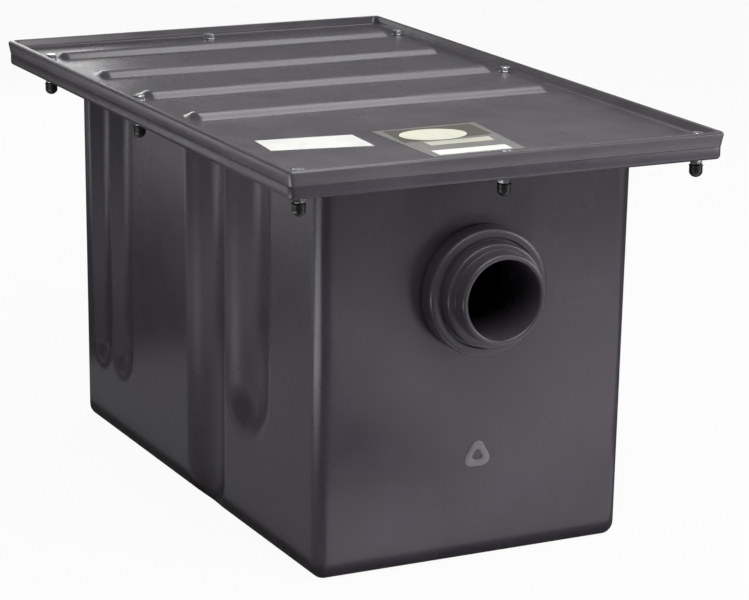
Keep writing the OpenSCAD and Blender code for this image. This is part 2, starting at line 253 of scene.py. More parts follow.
class Tree:
    """Short hand for adding nodes to a tree and joining them."""

    def __init__(self, tree):
        self.tree = tree

    def add(self, kind, inputs=None, **settings):
        node = self.tree.nodes.new(kind)
        for key, value in settings.items():
            setattr(node, key, value)
        for key, value in (inputs or {}).items():
            if isinstance(value, bpy.types.NodeSocket):
                self.tree.links.new(value, node.inputs[key])
            else:
                node.inputs[key].default_value = value
        return node

    def math(self, operation, a, b, clamp=False):
        return self.add("ShaderNodeMath", {0: a, 1: b}, operation=operation, use_clamp=clamp).outputs[0]

    def span(self, value, low, high, to_low=0.0, to_high=1.0):
        inputs = {"Value": value, "From Min": low, "From Max": high, "To Min": to_low, "To Max": to_high}
        return self.add("ShaderNodeMapRange", inputs, clamp=True).outputs[0]

    def blend(self, factor, a, b):
        node = self.add("ShaderNodeMix", data_type="RGBA")
        for socket, value in zip((node.inputs[0], node.inputs[6], node.inputs[7]), (factor, a, b)):
            if isinstance(value, bpy.types.NodeSocket):
                self.tree.links.new(value, socket)
            else:
                socket.default_value = value
        return node.outputs[2]

    def noise(self, vector, scale, detail=2.0, roughness=0.5):
        inputs = {"Vector": vector, "Scale": scale, "Detail": detail, "Roughness": roughness}
        return self.add("ShaderNodeTexNoise", inputs).outputs[0]


def shader_group(name, inputs, outputs):
    group = bpy.data.node_groups.new(name, "ShaderNodeTree")
    for label, kind, value in inputs:
        socket = group.interface.new_socket(label, in_out="INPUT", socket_type=kind)
        socket.default_value = value
    for label, kind in outputs:
        group.interface.new_socket(label, in_out="OUTPUT", socket_type=kind)
    tree = Tree(group)
    return group, tree, tree.add("NodeGroupInput").outputs, tree.add("NodeGroupOutput").inputs


def moulded_grain():
    """Fine pebbled skin of a moulding, with a slow mottle under it."""
    group, tree, given, out = shader_group(
        "moulded_grain",
        [("Pebble Scale", "NodeSocketFloat", 900.0), ("Mottle Scale", "NodeSocketFloat", 9.0)],
        [("Height", "NodeSocketFloat"), ("Mottle", "NodeSocketFloat")],
    )
    place = tree.add("ShaderNodeTexCoord").outputs["Object"]
    pebble = tree.noise(place, given["Pebble Scale"], 2.0, 0.6)
    orange = tree.noise(place, 140.0, 2.0, 0.5)
    height = tree.math("ADD", tree.math("MULTIPLY", pebble, 0.45), tree.math("MULTIPLY", orange, 0.55))
    group.links.new(height, out["Height"])
    group.links.new(tree.noise(place, given["Mottle Scale"], 4.0, 0.6), out["Mottle"])
    return group


def handling_marks():
    """Masks of thin scuff strokes and of dust that lies on upward faces."""
    group, tree, given, out = shader_group(
        "handling_marks",
        [("Scuff Amount", "NodeSocketFloat", 0.5), ("Dust Amount", "NodeSocketFloat", 0.5)],
        [("Scuff", "NodeSocketFloat"), ("Dust", "NodeSocketFloat")],
    )
    place = tree.add("ShaderNodeTexCoord").outputs["Object"]
    turned_place = tree.add(
        "ShaderNodeMapping", {"Vector": place, "Rotation": (0.5, 0.3, 0.7), "Scale": (7.0, 160.0, 60.0)}
    ).outputs[0]
    stroke = tree.span(tree.noise(turned_place, 1.0, 3.0, 0.6), 0.66, 0.74)
    patch = tree.span(tree.noise(place, 14.0, 2.0, 0.5), 0.5, 0.66)
    scuff = tree.math("MULTIPLY", tree.math("MULTIPLY", stroke, patch), given["Scuff Amount"])
    group.links.new(scuff, out["Scuff"])
    up = tree.add("ShaderNodeSeparateXYZ", {0: tree.add("ShaderNodeNewGeometry").outputs["Normal"]}).outputs[2]
    film = tree.span(tree.noise(place, 26.0, 3.0, 0.55), 0.3, 0.75)
    settled = tree.math("MULTIPLY", tree.span(up, 0.55, 0.98), film)
    group.links.new(tree.math("MULTIPLY", settled, given["Dust Amount"]), out["Dust"])
    return group


GRAIN = moulded_grain()
MARKS = handling_marks()


def new_material(name, colour, roughness, **sockets):
    material = bpy.data.materials.new(name)
    material.use_nodes = True
    material.diffuse_color = (*colour, 1.0)
    tree = Tree(material.node_tree)
    shader = material.node_tree.nodes["Principled BSDF"]
    shader.inputs["Base Color"].default_value = (*colour, 1.0)
    shader.inputs["Roughness"].default_value = roughness
    for label, value in sockets.items():
        shader.inputs[label].default_value = value
    return material, tree, shader


def moulded_plastic(name, colour, pale, roughness, grain, scuff, dust):
    """Moulded plastic: grain in the bump, mottle in colour and gloss, scuffs and settled dust."""
    material, tree, shader = new_material(name, colour, roughness)
    links = material.node_tree.links
    skin = tree.add("ShaderNodeGroup", node_tree=GRAIN)
    marks = tree.add("ShaderNodeGroup", node_tree=MARKS)
    marks.inputs["Scuff Amount"].default_value = scuff
    marks.inputs["Dust Amount"].default_value = dust
    deep = tuple(0.82 * c for c in colour)
    light = tuple(1.16 * c for c in colour)
    mottle = tree.span(skin.outputs["Mottle"], 0.3, 0.7)
    base = tree.blend(mottle, (*deep, 1.0), (*light, 1.0))
    wear = tree.math("ADD", marks.outputs["Scuff"], marks.outputs["Dust"], True)
    links.new(tree.blend(wear, base, (*pale, 1.0)), shader.inputs["Base Color"])
    gloss = tree.span(mottle, 0.0, 1.0, roughness - 0.05, roughness + 0.05)
    dulled = tree.math("MULTIPLY", marks.outputs["Dust"], 0.2)
    links.new(tree.math("ADD", gloss, dulled, True), shader.inputs["Roughness"])
    bump = tree.add("ShaderNodeBump", {"Strength": grain, "Distance": 0.0006, "Height": skin.outputs["Height"]})
    links.new(bump.outputs[0], shader.inputs["Normal"])
    return material


def bright_steel(name, deep, light, gloss, dull_gloss):
    """Stainless steel with fine turning marks and dull patches."""
    material, tree, shader = new_material(name, light, gloss, Metallic=1.0)
    links = material.node_tree.links
    place = tree.add("ShaderNodeTexCoord").outputs["Object"]
    dull = tree.noise(place, 420.0, 3.0, 0.6)
    links.new(tree.blend(tree.span(dull, 0.3, 0.7), (*deep, 1.0), (*light, 1.0)), shader.inputs["Base Color"])
    links.new(tree.span(dull, 0.3, 0.7, gloss, dull_gloss), shader.inputs["Roughness"])
    marks = tree.add("ShaderNodeMapping", {"Vector": place, "Scale": (300.0, 300.0, 4000.0)}).outputs[0]
    turning = tree.noise(marks, 1.0, 2.0, 0.5)
    bump = tree.add("ShaderNodeBump", {"Strength": 0.12, "Distance": 0.0003, "Height": turning})
    links.new(bump.outputs[0], shader.inputs["Normal"])
    return material


def paper(name, colour, dark):
    """Label paper: faint fibre and a slightly soiled tone."""
    material, tree, shader = new_material(name, colour, 0.5)
    links = material.node_tree.links
    place = tree.add("ShaderNodeTexCoord").outputs["Object"]
    fibre = tree.noise(place, 700.0, 3.0, 0.6)
    soil = tree.span(tree.noise(place, 22.0, 4.0, 0.6), 0.45, 0.8, 0.0, 0.5)
    links.new(tree.blend(soil, (*colour, 1.0), (*dark, 1.0)), shader.inputs["Base Color"])
    links.new(tree.span(fibre, 0.3, 0.7, 0.42, 0.6), shader.inputs["Roughness"])
    bump = tree.add("ShaderNodeBump", {"Strength": 0.1, "Distance": 0.0002, "Height": fibre})
    links.new(bump.outputs[0], shader.inputs["Normal"])
    return material


# Base colour, colour of worn places, roughness, then the strength of grain, scuffs and dust
tank_plastic = moulded_plastic(
    "tank_polyethylene", (0.046, 0.0385, 0.0515), (0.1, 0.096, 0.104), 0.27, 0.2, 0.02, 0.15)
lid_plastic = moulded_plastic(
    "lid_polyethylene", (0.077, 0.0695, 0.0812), (0.14, 0.135, 0.144), 0.25, 0.2, 0.1, 0.25)
fitting_plastic = moulded_plastic(
    "fitting_plastic", (0.046, 0.039, 0.05), (0.09, 0.086, 0.092), 0.3, 0.15, 0.1, 0.15)
cap_plastic = moulded_plastic(
    "cap_plastic", (0.012, 0.012, 0.013), (0.04, 0.04, 0.042), 0.3, 0.1, 0.15, 0.1)
baffle_plastic = moulded_plastic(
    "baffle_polyethylene", (0.075, 0.073, 0.078), (0.13, 0.13, 0.13), 0.5, 0.3, 0.4, 0.15)
seal_rubber = moulded_plastic(
    "seal_rubber", (0.016, 0.016, 0.016), (0.06, 0.06, 0.06), 0.7, 0.5, 0.1, 0.3)
# The raised mark: a pale colour that is a painted highlight
mark_highlight_plastic = moulded_plastic(
    "mark_highlight_polyethylene", (0.15, 0.14, 0.155), (0.2, 0.198, 0.2), 0.4, 0.2, 0.05, 0.1)
steel = bright_steel("bright_stainless", (0.5, 0.5, 0.51), (0.7, 0.7, 0.71), 0.2, 0.38)
# A darker copy of the steel for the nuts and their washers: painted shade for the dark they mirror under the
# flange
shaded_steel = bright_steel("shaded_stainless", (0.22, 0.22, 0.225), (0.36, 0.36, 0.365), 0.14, 0.26)
white_paper = paper("label_white", (0.82, 0.82, 0.8), (0.5, 0.5, 0.47))
cream_paper = paper("label_cream", (0.74, 0.74, 0.62), (0.46, 0.46, 0.36))
soiled_paper = paper("label_soiled", (0.55, 0.56, 0.47), (0.36, 0.36, 0.3))
grey_paper = paper("label_grey", (0.19, 0.188, 0.18), (0.11, 0.11, 0.105))
dark_paper = paper("label_dark", (0.075, 0.072, 0.055), (0.05, 0.048, 0.038))


# Tank: one skin from the base up the outside, over the flange and down the inside

TANK_COUNTS = (200, 56, 8)


def tank_ring(z, inset, corner_r, grow=0.0, spread=0.0):
    """Ring of the tank at a height, drawn in by an inset, with the flutes cut in its sides."""
    lean = z / TANK_H
    half_x = TANK_L / 2 + END_DRAFT * lean - inset + spread
    half_y = TANK_W / 2 + SIDE_DRAFT * lean - inset + spread

    def side(x):
        return smooth_min(np.full_like(x, half_y), flute_wall(x, z, grow) + spread, FLUTE_SOFTNESS)

    return outline(half_x, half_y, corner_r, z, TANK_COUNTS, side)


def tank_mesh():
    rings = []
    for a in quarter_turn(6):
        inset = EDGE_R * (1 - math.sin(a))
        rings.append(tank_ring(EDGE_R * (1 - math.cos(a)), inset, max(EDGE_R - inset, LEAST_R)))
    fillet_z = TANK_H - UNDER_FLANGE_R
    rings += [tank_ring(z, 0.0, EDGE_R) for z in np.linspace(EDGE_R, fillet_z, 58)[1:]]
    for a in quarter_turn(5, 1):
        spread = UNDER_FLANGE_R * (1 - math.cos(a))
        rings.append(tank_ring(fillet_z + UNDER_FLANGE_R * math.sin(a), 0.0, EDGE_R + spread, 0.0, spread))
    flange_edges = (
        (TANK_H + FLANGE_EDGE_R, FLANGE_EDGE_R, -1),
        (FLANGE_TOP - MATING_EDGE_R, MATING_EDGE_R, 0),
    )
    for middle_z, edge, start in flange_edges:
        for step in range(6):
            a = math.pi / 2 * (step / 5 + start)
            reach = edge * (1 - math.cos(a))
            corner = FLANGE_CORNER_R - reach
            z = middle_z + edge * math.sin(a)
            rings.append(outline(FLANGE_X - reach, FLANGE_Y - reach, corner, z, TANK_COUNTS))
    mouth_x = TANK_L / 2 + END_DRAFT * FLANGE_TOP / TANK_H - WALL
    mouth_y = TANK_W / 2 + SIDE_DRAFT * FLANGE_TOP / TANK_H - WALL
    groove_out, groove_in = SEAL_IN + SEAL_W + SEAL_CLEAR, SEAL_IN - SEAL_CLEAR
    groove = ((groove_out, FLANGE_TOP), (groove_out, GROOVE_Z), (groove_in, GROOVE_Z), (groove_in, FLANGE_TOP))
    for out, z in groove:
        rings.append(outline(mouth_x + out, mouth_y + out, EDGE_R + out, z, TANK_COUNTS))
    inner_r = EDGE_R - WALL
    for a in quarter_turn(3):
        z = FLANGE_TOP - MOUTH_R + MOUTH_R * math.cos(a)
        rings.append(tank_ring(z, WALL - MOUTH_R * (1 - math.sin(a)), inner_r + MOUTH_R, WALL))
    below_mouth = FLANGE_TOP - MOUTH_R - 1.0
    rings += [tank_ring(z, WALL, inner_r, WALL) for z in np.linspace(below_mouth, WALL + inner_r, 56)]
    for a in quarter_turn(5, 1):
        inset = WALL + inner_r * (1 - math.cos(a))
        z = WALL + inner_r * (1 - math.sin(a))
        rings.append(tank_ring(z, inset, max(inner_r * math.cos(a), LEAST_R), WALL))
    return plain_mesh("tank", *loft(rings))


def along_pipe(mesh, turn):
    """Lays a mesh made about Z along the pipe axis; turn is 0 for the inlet, 180 for the outlet."""
    lift = Matrix.Translation((0, 0, PIPE_Z * MM))
    turn_round = Matrix.Rotation(math.radians(turn), 4, "Z")
    mesh.transform(lift @ turn_round @ Matrix.Rotation(math.radians(90), 4, "Y"))
    return mesh


def drum(name, radius, low, high, segments=96):
    """Plain closed cylinder about Z, turned by half a facet so that its points miss the lines it cuts."""
    turns = [2 * math.pi * (i + 0.5) / segments for i in range(segments)]
    ring = [(radius * math.cos(a), radius * math.sin(a)) for a in turns]
    rings = [np.array([(x, y, z) for x, y in ring]) for z in (low, high)]
    return plain_mesh(name, *loft(rings))


def screw_holes(low, high):
    """Tools for the holes of all screws between two heights."""
    tools = []
    for x, y in SCREW_PLACES:
        hole = drum("hole", HOLE_R, low, high, 24)
        hole.transform(Matrix.Translation((x * MM, y * MM, 0)))
        tools.append(("DIFFERENCE", hole))
    return tools


tank_shell = linked("tank_shell", tank_mesh())
seats = [("UNION", along_pipe(drum("seat", SEAT_R, SEAT_IN, SEAT_OUT), turn)) for turn in (0, 180)]
bore_r, bore_ends = SLEEVE_R + SLEEVE_CLEAR, (SEAT_IN - PAST, SEAT_OUT + PAST)
bores = [("DIFFERENCE", along_pipe(drum("bore", bore_r, *bore_ends), turn)) for turn in (0, 180)]
carve(tank_shell, seats + bores + screw_holes(TANK_H - PAST, FLANGE_TOP + PAST))
shell_mesh = tank_shell.data
bpy.data.objects.remove(tank_shell)
tidy_mesh(shell_mesh)
piece("trap_tank", shell_mesh, tank_plastic, "tank", ["tank"])


# Lid: a tray with a rim, cross ribs on top and their hollows below

def grid_lines(half, dense, fine, coarse):
    """Places across the lid, close together within the dense spans."""
    lines = [-half]
    while lines[-1] < half - 1.0e-6:
        here = lines[-1]
        step = fine if any(low - coarse <= here < high for low, high in dense) else coarse
        lines.append(min(here + step, half))
    return np.array(lines)


def lid_height(x, y, radius, rise, end_y, softness, steep=1.0):
    """Height of the ribs over the plate, or of their hollows over its underside."""
    height = np.zeros_like(x)
    for rib in RIB_X:
        away = (x - rib) ** 2 + (steep * np.maximum(np.abs(y) - end_y, 0.0)) ** 2
        back = np.sqrt(np.maximum(radius * radius - away, 0.0)) - (radius - rise)
        height = np.maximum(height, -smooth_min(np.zeros_like(x), -back, softness))
    return height


FOOT_X, FOOT_Y = FLANGE_X - RIM_T - COVE_R, FLANGE_Y - RIM_T - COVE_R


def plate_top(x, y):
    """Top of the lid's plate, which is a little uneven between its edges."""
    waves = 0.25 * np.sin(x / 61.0 + 1.3) * np.cos(y / 47.0 + 0.4)
    return LID_FLOOR + waves * (1 - (x / FOOT_X) ** 8) * (1 - (y / FOOT_Y) ** 8)


def lid_mesh():
    near_rib, near_end = 26, 140
    xs = grid_lines(FOOT_X, [(rib - near_rib, rib + near_rib) for rib in RIB_X], 2.6, 9.0)
    ys = grid_lines(FOOT_Y, [(-FOOT_Y, -near_end), (near_end, FOOT_Y)], 2.2, 14.0)
    counts = (len(xs) - 1, len(ys) - 1, 6)
    rib_r = (RIB_W * RIB_W / 4 + RIB_H * RIB_H) / (2 * RIB_H)
    gx, gy = np.meshgrid(xs, ys, indexing="ij")
    steep_end_y = RIB_END_Y + RIB_W / 2 * (1 - 1 / RIB_END_STEEP)
    top = plate_top(gx, gy) + lid_height(gx, gy, rib_r, RIB_H, steep_end_y, 2.5, RIB_END_STEEP)
    hollow_r = rib_r - LID_T
    hollow_h = hollow_r - (rib_r - RIB_H) + LID_T
    below = LID_Z + lid_height(gx, gy, hollow_r, hollow_h, TANK_W / 2 - WALL - RIB_W, 1.5)

    def ring(half_x, half_y, corner, z):
        """Outline whose points along the sides stand in line with those of the grid."""
        points = outline(half_x, half_y, corner, z, counts)
        share_x = xs / FOOT_X * (half_x - corner)
        share_y = ys / FOOT_Y * (half_y - corner)
        n_long, n_short, n_corner = counts
        start = 0
        points[start:start + n_long + 1, 0] = share_x
        start += n_long + n_corner
        points[start:start + n_short + 1, 1] = share_y
        start += n_short + n_corner
        points[start:start + n_long + 1, 0] = share_x[::-1]
        start += n_long + n_corner
        points[start:start + n_short + 1, 1] = share_y[::-1]
        return points

    rings = [ring(FOOT_X, FOOT_Y, 0.0, LID_FLOOR)]
    for a in quarter_turn(5, 1):
        reach = COVE_R * math.sin(a)
        z = LID_FLOOR + COVE_R * (1 - math.cos(a))
        rings.append(ring(FOOT_X + reach, FOOT_Y + reach, reach, z))
    inner_x, inner_y = FLANGE_X + RIM_FLARE - RIM_T, FLANGE_Y + RIM_FLARE - RIM_T
    for a in quarter_turn(4):
        reach = RIM_INNER_R * (1 - math.cos(a))
        z = RIM_TOP - RIM_INNER_R * (1 - math.sin(a))
        rings.append(ring(inner_x + reach, inner_y + reach, COVE_R + reach, z))
    outer_x, outer_y = FLANGE_X + RIM_FLARE, FLANGE_Y + RIM_FLARE
    for a in quarter_turn(6):
        reach = RIM_EDGE_R * (1 - math.sin(a))
        z = RIM_TOP - RIM_EDGE_R * (1 - math.cos(a))
        rings.append(ring(outer_x - reach, outer_y - reach, LID_CORNER_R - reach, z))
    for a in quarter_turn(3):
        reach = MATING_EDGE_R * (1 - math.cos(a))
        z = LID_Z - LIP_DROP + MATING_EDGE_R * (1 - math.sin(a))
        rings.append(ring(FLANGE_X - reach, FLANGE_Y - reach, LIP_CORNER_R - reach, z))
    rings.append(ring(FOOT_X, FOOT_Y, 0.0, LID_Z))
    verts, faces = loft(rings, caps=False)
    blocks = [verts]
    start = len(verts)
    for heights in (top, below):
        blocks.append(np.column_stack([gx.ravel(), gy.ravel(), heights.ravel()]))
        for i in range(len(xs) - 1):
            for j in range(len(ys) - 1):
                a = start + i * len(ys) + j
                faces.append((a, a + len(ys), a + len(ys) + 1, a + 1))
        start += len(xs) * len(ys)
    return plain_mesh("lid", np.concatenate(blocks), faces, LID_SHARP)


lid_plate = linked("lid_plate", lid_mesh())
carve(lid_plate, screw_holes(LID_Z - PAST, LID_FLOOR + PAST))
plate_mesh = lid_plate.data
bpy.data.objects.remove(lid_plate)
tidy_mesh(plate_mesh, LID_SHARP)
piece("trap_lid", plate_mesh, lid_plastic, "lid", ["lid"])


# Plain labels on the lid and a small raised mark on the inlet end

def slab(name, edge, ground, low, high, layers=6):
    """Thin closed sheet with a star-shaped edge that follows the ground under it."""
    edge = np.array(edge, float)
    centre = edge.mean(axis=0)
    count = len(edge)
    verts, faces = [], []
    for level in (high, low):
        start = len(verts)
        for layer in range(layers):
            flat = centre + (edge - centre) * (1 - layer / layers)
            verts += np.column_stack([flat, ground(flat[:, 0], flat[:, 1]) + level]).tolist()
        verts.append((*centre, float(ground(*centre)) + level))
        for i in range(count):
            j = (i + 1) % count
            for layer in range(layers - 1):
                a, b = start + layer * count, start + (layer + 1) * count
                faces.append((a + i, a + j, b + j, b + i))
            inner = start + (layers - 1) * count
            faces.append((inner + i, inner + j, start + layers * count))
    second = layers * count + 1
    faces += [(i, (i + 1) % count, second + (i + 1) % count, second + i) for i in range(count)]
    return plain_mesh(name, verts, faces)


def four_sided(corners, per_side=10):
    """Edge of a four-sided sheet, with points spread along each side."""
    ends = corners[1:] + corners[:1]
    return [
        (a[0] + (b[0] - a[0]) * t / per_side, a[1] + (b[1] - a[1]) * t / per_side)
        for a, b in zip(corners, ends) for t in range(per_side)
    ]


def oval(centre, half_x, half_y, count=48):
    """Edge of an oval sheet."""
    return [(centre[0] + half_x * math.cos(a), centre[1] + half_y * math.sin(a)) for a in full_turn(count)]


def add_labels():
    """Two bare labels: a white one, and a grey one with plain dark and pale fields."""
    glue, thick, second, third = 0.05, 0.25, 0.15, 0.3
    sheets = [
        ("label_white", 0.0, white_paper,
         four_sided([(190.5, -178.4), (235.5, -182.6), (250.5, -87.2), (199.0, -84.4)])),
        ("label_grey", 0.0, grey_paper,
         four_sided([(193.0, -62.1), (314.9, -60.7), (312.6, 33.8), (191.0, 46.9)])),
        ("label_dark", second, dark_paper,
         four_sided([(197.0, -52.0), (249.0, -56.0), (245.0, 36.0), (197.0, 39.0)])),
        ("label_oval", third, cream_paper, oval((227.0, -15.5), 24.0, 33.0)),
        ("label_band", second, soiled_paper,
         four_sided([(255.0, -40.0), (270.0, -40.0), (270.0, 25.0), (254.0, 28.0)])),
        ("label_bar", second, white_paper,
         four_sided([(291.0, -51.0), (309.5, -52.0), (309.0, 22.0), (291.0, 24.0)])),
    ]
    for name, lift, finish, edge in sheets:
        piece("trap_" + name, slab(name, edge, plate_top, lift + glue, lift + thick), finish, "lid")


def add_mark():
    """A plain raised outline, moulded on the end wall under the inlet; its pale colour is a painted highlight.
    """
    middle_y, middle_z, around, corner_share = 3.8, 102.0, 72, 0.14
    section = ((12.6, -0.6), (12.2, 0.6), (11.0, 1.1), (6.0, 1.1), (5.0, 0.6), (4.6, -0.6))
    rings = []
    for size, lift in section:
        ring = []
        for a in full_turn(around):
            r = size * (1 + corner_share * math.cos(3 * (a - math.pi / 2)))
            z = middle_z + r * math.sin(a)
            ring.append((TANK_L / 2 + END_DRAFT * z / TANK_H + lift, middle_y + r * math.cos(a), z))
        rings.append(np.array(ring))
    mesh = plain_mesh("mark", *loft(rings + rings[:1], caps=False))
    piece("trap_mark", mesh, mark_highlight_plastic, "tank")


add_labels()
add_mark()


# Pipe fittings

def fitting_section():
    """Section of a fitting: sleeve, flange ring, a groove round the collar, and the spigot."""
    groove_r, groove_x = COLLAR_R + 2.6, COLLAR_X - 2.5
    corners = [
        (BORE_R, SLEEVE_END, 0.8), (SLEEVE_R, SLEEVE_END, 1.0), (SLEEVE_R, RING_X, 0.0),
        (RING_R, RING_X, 0.6), (RING_R, COLLAR_X, 4.2), (groove_r, COLLAR_X, 0.8),
        (groove_r, groove_x, 0.5), (COLLAR_R, groove_x, 0.5), (COLLAR_R, SPIGOT_X, 2.6),
        (SPIGOT_R, SPIGOT_X, 1.0), (SPIGOT_R, PIPE_END, 2.5), (BORE_R, PIPE_END, 2.5),
    ]
    return rounded_section(corners)


for end, turn in (("inlet", 0), ("outlet", 180)):
    mesh = along_pipe(plain_mesh(end + "_fitting", *turned(fitting_section(), 128)), turn)
    piece("trap_" + end + "_fitting", mesh, fitting_plastic, "tank", [end + "_fitting"])


# Screws, washers, nuts and caps

def hexagon_rings(bottom, top, chamfers, around=48):
    """Rings of a hexagonal bar whose ends (below, above) are turned to a cone."""
    levels = [0.0, 0.12, 0.3, 0.5, 0.7, 0.88, 1.0]
    cone_share, cone_angle = 0.96, math.radians(30)
    rings = []
    for level in levels:
        z = bottom + (top - bottom) * level
        ring = []
        for a in full_turn(around):
            flat = (a + math.pi / 6) % (math.pi / 3) - math.pi / 6
            r = HEX_AF / 2 / math.cos(flat)
            for end, is_cut in zip((z - bottom, top - z), chamfers):
                if is_cut:
                    r = min(r, cone_share * HEX_AF / 2 + end / math.tan(cone_angle))
            ring.append((r * math.cos(a), r * math.sin(a), z))
        rings.append(np.array(ring))
    return rings


def screw_mesh():
    """A hexagon screw with its thread, its head standing on zero."""
    verts, faces = loft(hexagon_rings(0.0, HEAD_H, (False, True)))
    pitch, thread_depth, around, per_turn = 1.0, 0.55, 20, 4
    length = LID_FLOOR + WASHER_T - CAP_TOP + SCREW_TIP
    rings = []
    for row in range(int(length / pitch * per_turn) + 1):
        z = -row * pitch / per_turn
        ring = []
        tip = min(1.0, (length + z + 0.35) / 1.2)
        taper = min(1.0, 0.72 + 0.28 * tip)
        for i, a in enumerate(full_turn(around)):
            phase = (z / pitch + i / around) % 1.0
            r = (SCREW_R - thread_depth * abs(2 * phase - 1)) * taper
            ring.append((r * math.cos(a), r * math.sin(a), z))
        rings.append(np.array(ring[::-1]))
    shank, shank_faces = loft(rings)
    faces += [tuple(i + len(verts) for i in face) for face in shank_faces]
    return plain_mesh("screw", np.concatenate([verts, shank]), faces, 32.0)


def nut_mesh():
    outer = hexagon_rings(0.0, NUT_H, (True, True))
    circle = [(HOLE_R * math.cos(a), HOLE_R * math.sin(a)) for a in full_turn(len(outer[0]))]
    bore = [np.array([(x, y, z) for x, y in circle]) for z in (NUT_H, 0.0)]
    verts, faces = loft(outer + bore + [outer[0]], caps=False)
    return plain_mesh("nut", verts, faces, 32.0)


def washer_mesh():
    inner, outer = 0.2, 0.35
    corners = [
        (HOLE_R, 0.0, inner), (WASHER_R, 0.0, outer), (WASHER_R, WASHER_T, outer), (HOLE_R, WASHER_T, inner),
    ]
    return plain_mesh("washer", *turned(rounded_section(corners, 3), 40))


def cap_mesh():
    """A round cap: a collar at its mouth, a slightly narrower skirt and a dome."""
    axis_r, edge, step_in, blend = 0.02, 0.5, 0.35, 2.5
    rise = np.linspace(0.0, math.pi / 2 * 0.995, 11)
    dome = [(CAP_R * math.cos(a), -CAP_SKIRT - CAP_R * math.sin(a)) for a in rise]
    depth = SCREW_TIP + CAP_ROOM
    hollow = [(axis_r, -depth), (HOLE_R, -depth), (HOLE_R, 0.0)]
    collar = [(CAP_R - edge, 0.0), (CAP_R, -edge), (CAP_R, -1.6), (CAP_R - step_in, -2.0)]
    skirt = [(r - step_in * max(0.0, 1 - (-CAP_SKIRT - z) / blend), z) for r, z in dome]
    section = hollow + collar + skirt
    return plain_mesh("cap", *turned(section, 40), sharp=40.0)


def placing_tree():
    """Geometry Nodes tree that puts one part on every screw place, each turned by its own amount."""
    tree = bpy.data.node_groups.new("place_on_screws", "GeometryNodeTree")
    made = {"Geometry": tree.interface.new_socket("Geometry", in_out="INPUT", socket_type="NodeSocketGeometry")}
    settings = (("Part", "NodeSocketObject"), ("Finish", "NodeSocketMaterial"), ("Turn Seed", "NodeSocketInt"))
    for label, kind in settings:
        made[label] = tree.interface.new_socket(label, in_out="INPUT", socket_type=kind)
    tree.interface.new_socket("Geometry", in_out="OUTPUT", socket_type="NodeSocketGeometry")
    nodes, links = tree.nodes, tree.links
    given, result = nodes.new("NodeGroupInput"), nodes.new("NodeGroupOutput")
    part = nodes.new("GeometryNodeObjectInfo")
    turn = nodes.new("FunctionNodeRandomValue")
    turn.data_type = "FLOAT_VECTOR"
    turn.inputs["Min"].default_value = (0.0, 0.0, 0.0)
    turn.inputs["Max"].default_value = (0.0, 0.0, 2 * math.pi)
    put = nodes.new("GeometryNodeInstanceOnPoints")
    real = nodes.new("GeometryNodeRealizeInstances")
    finish = nodes.new("GeometryNodeSetMaterial")
    links.new(given.outputs["Part"], part.inputs["Object"])
    links.new(given.outputs["Turn Seed"], turn.inputs["Seed"])
    links.new(given.outputs["Geometry"], put.inputs["Points"])
    links.new(part.outputs["Geometry"], put.inputs["Instance"])
    links.new(turn.outputs["Value"], put.inputs["Rotation"])
    links.new(put.outputs[0], real.inputs[0])
    links.new(real.outputs[0], finish.inputs["Geometry"])
    links.new(given.outputs["Finish"], finish.inputs["Material"])
    links.new(finish.outputs[0], result.inputs[0])
    return tree, {label: socket.identifier for label, socket in made.items()}


PLACING, PLACING_INPUT = placing_tree()


def on_screws(name, part_mesh, z, seed, material, body, node):
    """One piece with a copy of the part at every screw place, at a height."""
    part = linked(name + "_part", part_mesh)
    places = bpy.data.meshes.new(name + "_places")
    places.from_pydata([(x * MM, y * MM, z * MM) for x, y in SCREW_PLACES], [], [])
    carrier = linked(name + "_carrier", places)
    modifier = carrier.modifiers.new("place", "NODES")
    modifier.node_group = PLACING
    modifier[PLACING_INPUT["Part"]] = part
    modifier[PLACING_INPUT["Finish"]] = material
    modifier[PLACING_INPUT["Turn Seed"]] = seed
    mesh = evaluated_mesh(carrier)
    carrier.modifiers.remove(modifier)
    bpy.data.objects.remove(carrier)
    bpy.data.objects.remove(part)
    mesh.name = name
    return piece(name, mesh, material, body, [node])


on_screws("trap_lid_screws", screw_mesh(), LID_FLOOR + WASHER_T, 3, steel, "lid", "lid_screws")
on_screws("trap_screw_washers", washer_mesh(), LID_FLOOR, 1, steel, "lid", "screw_washers")
# The nuts and their washers take the darker steel, which is painted shade
on_screws("trap_nut_washers", washer_mesh(), NUT_TOP, 2, shaded_steel, "tank", "nut_washers")
on_screws("trap_lid_nuts", nut_mesh(), CAP_TOP, 5, shaded_steel, "tank", "lid_nuts")
on_screws("trap_nut_caps", cap_mesh(), CAP_TOP, 4, cap_plastic, "tank", "nut_caps")


# Materials of the pieces that keep their CAD shape

for node, material in {
    "lid_gasket": seal_rubber, "inlet_gasket": seal_rubber, "outlet_gasket": seal_rubber,
    "inlet_locknut": fitting_plastic, "outlet_locknut": fitting_plastic,
    "inlet_baffle": baffle_plastic, "outlet_baffle": baffle_plastic,
}.items():
    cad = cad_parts[node].data
    cad.materials.clear()
    cad.materials.append(material)


# Camera, floor and light

EYE = (2.5072, -1.2259, 0.9239)
PAN, TILT, ROLL = 63.181, 14.916, 0.826
FOCAL_PX, IMAGE_W = 2869.7, 749.0


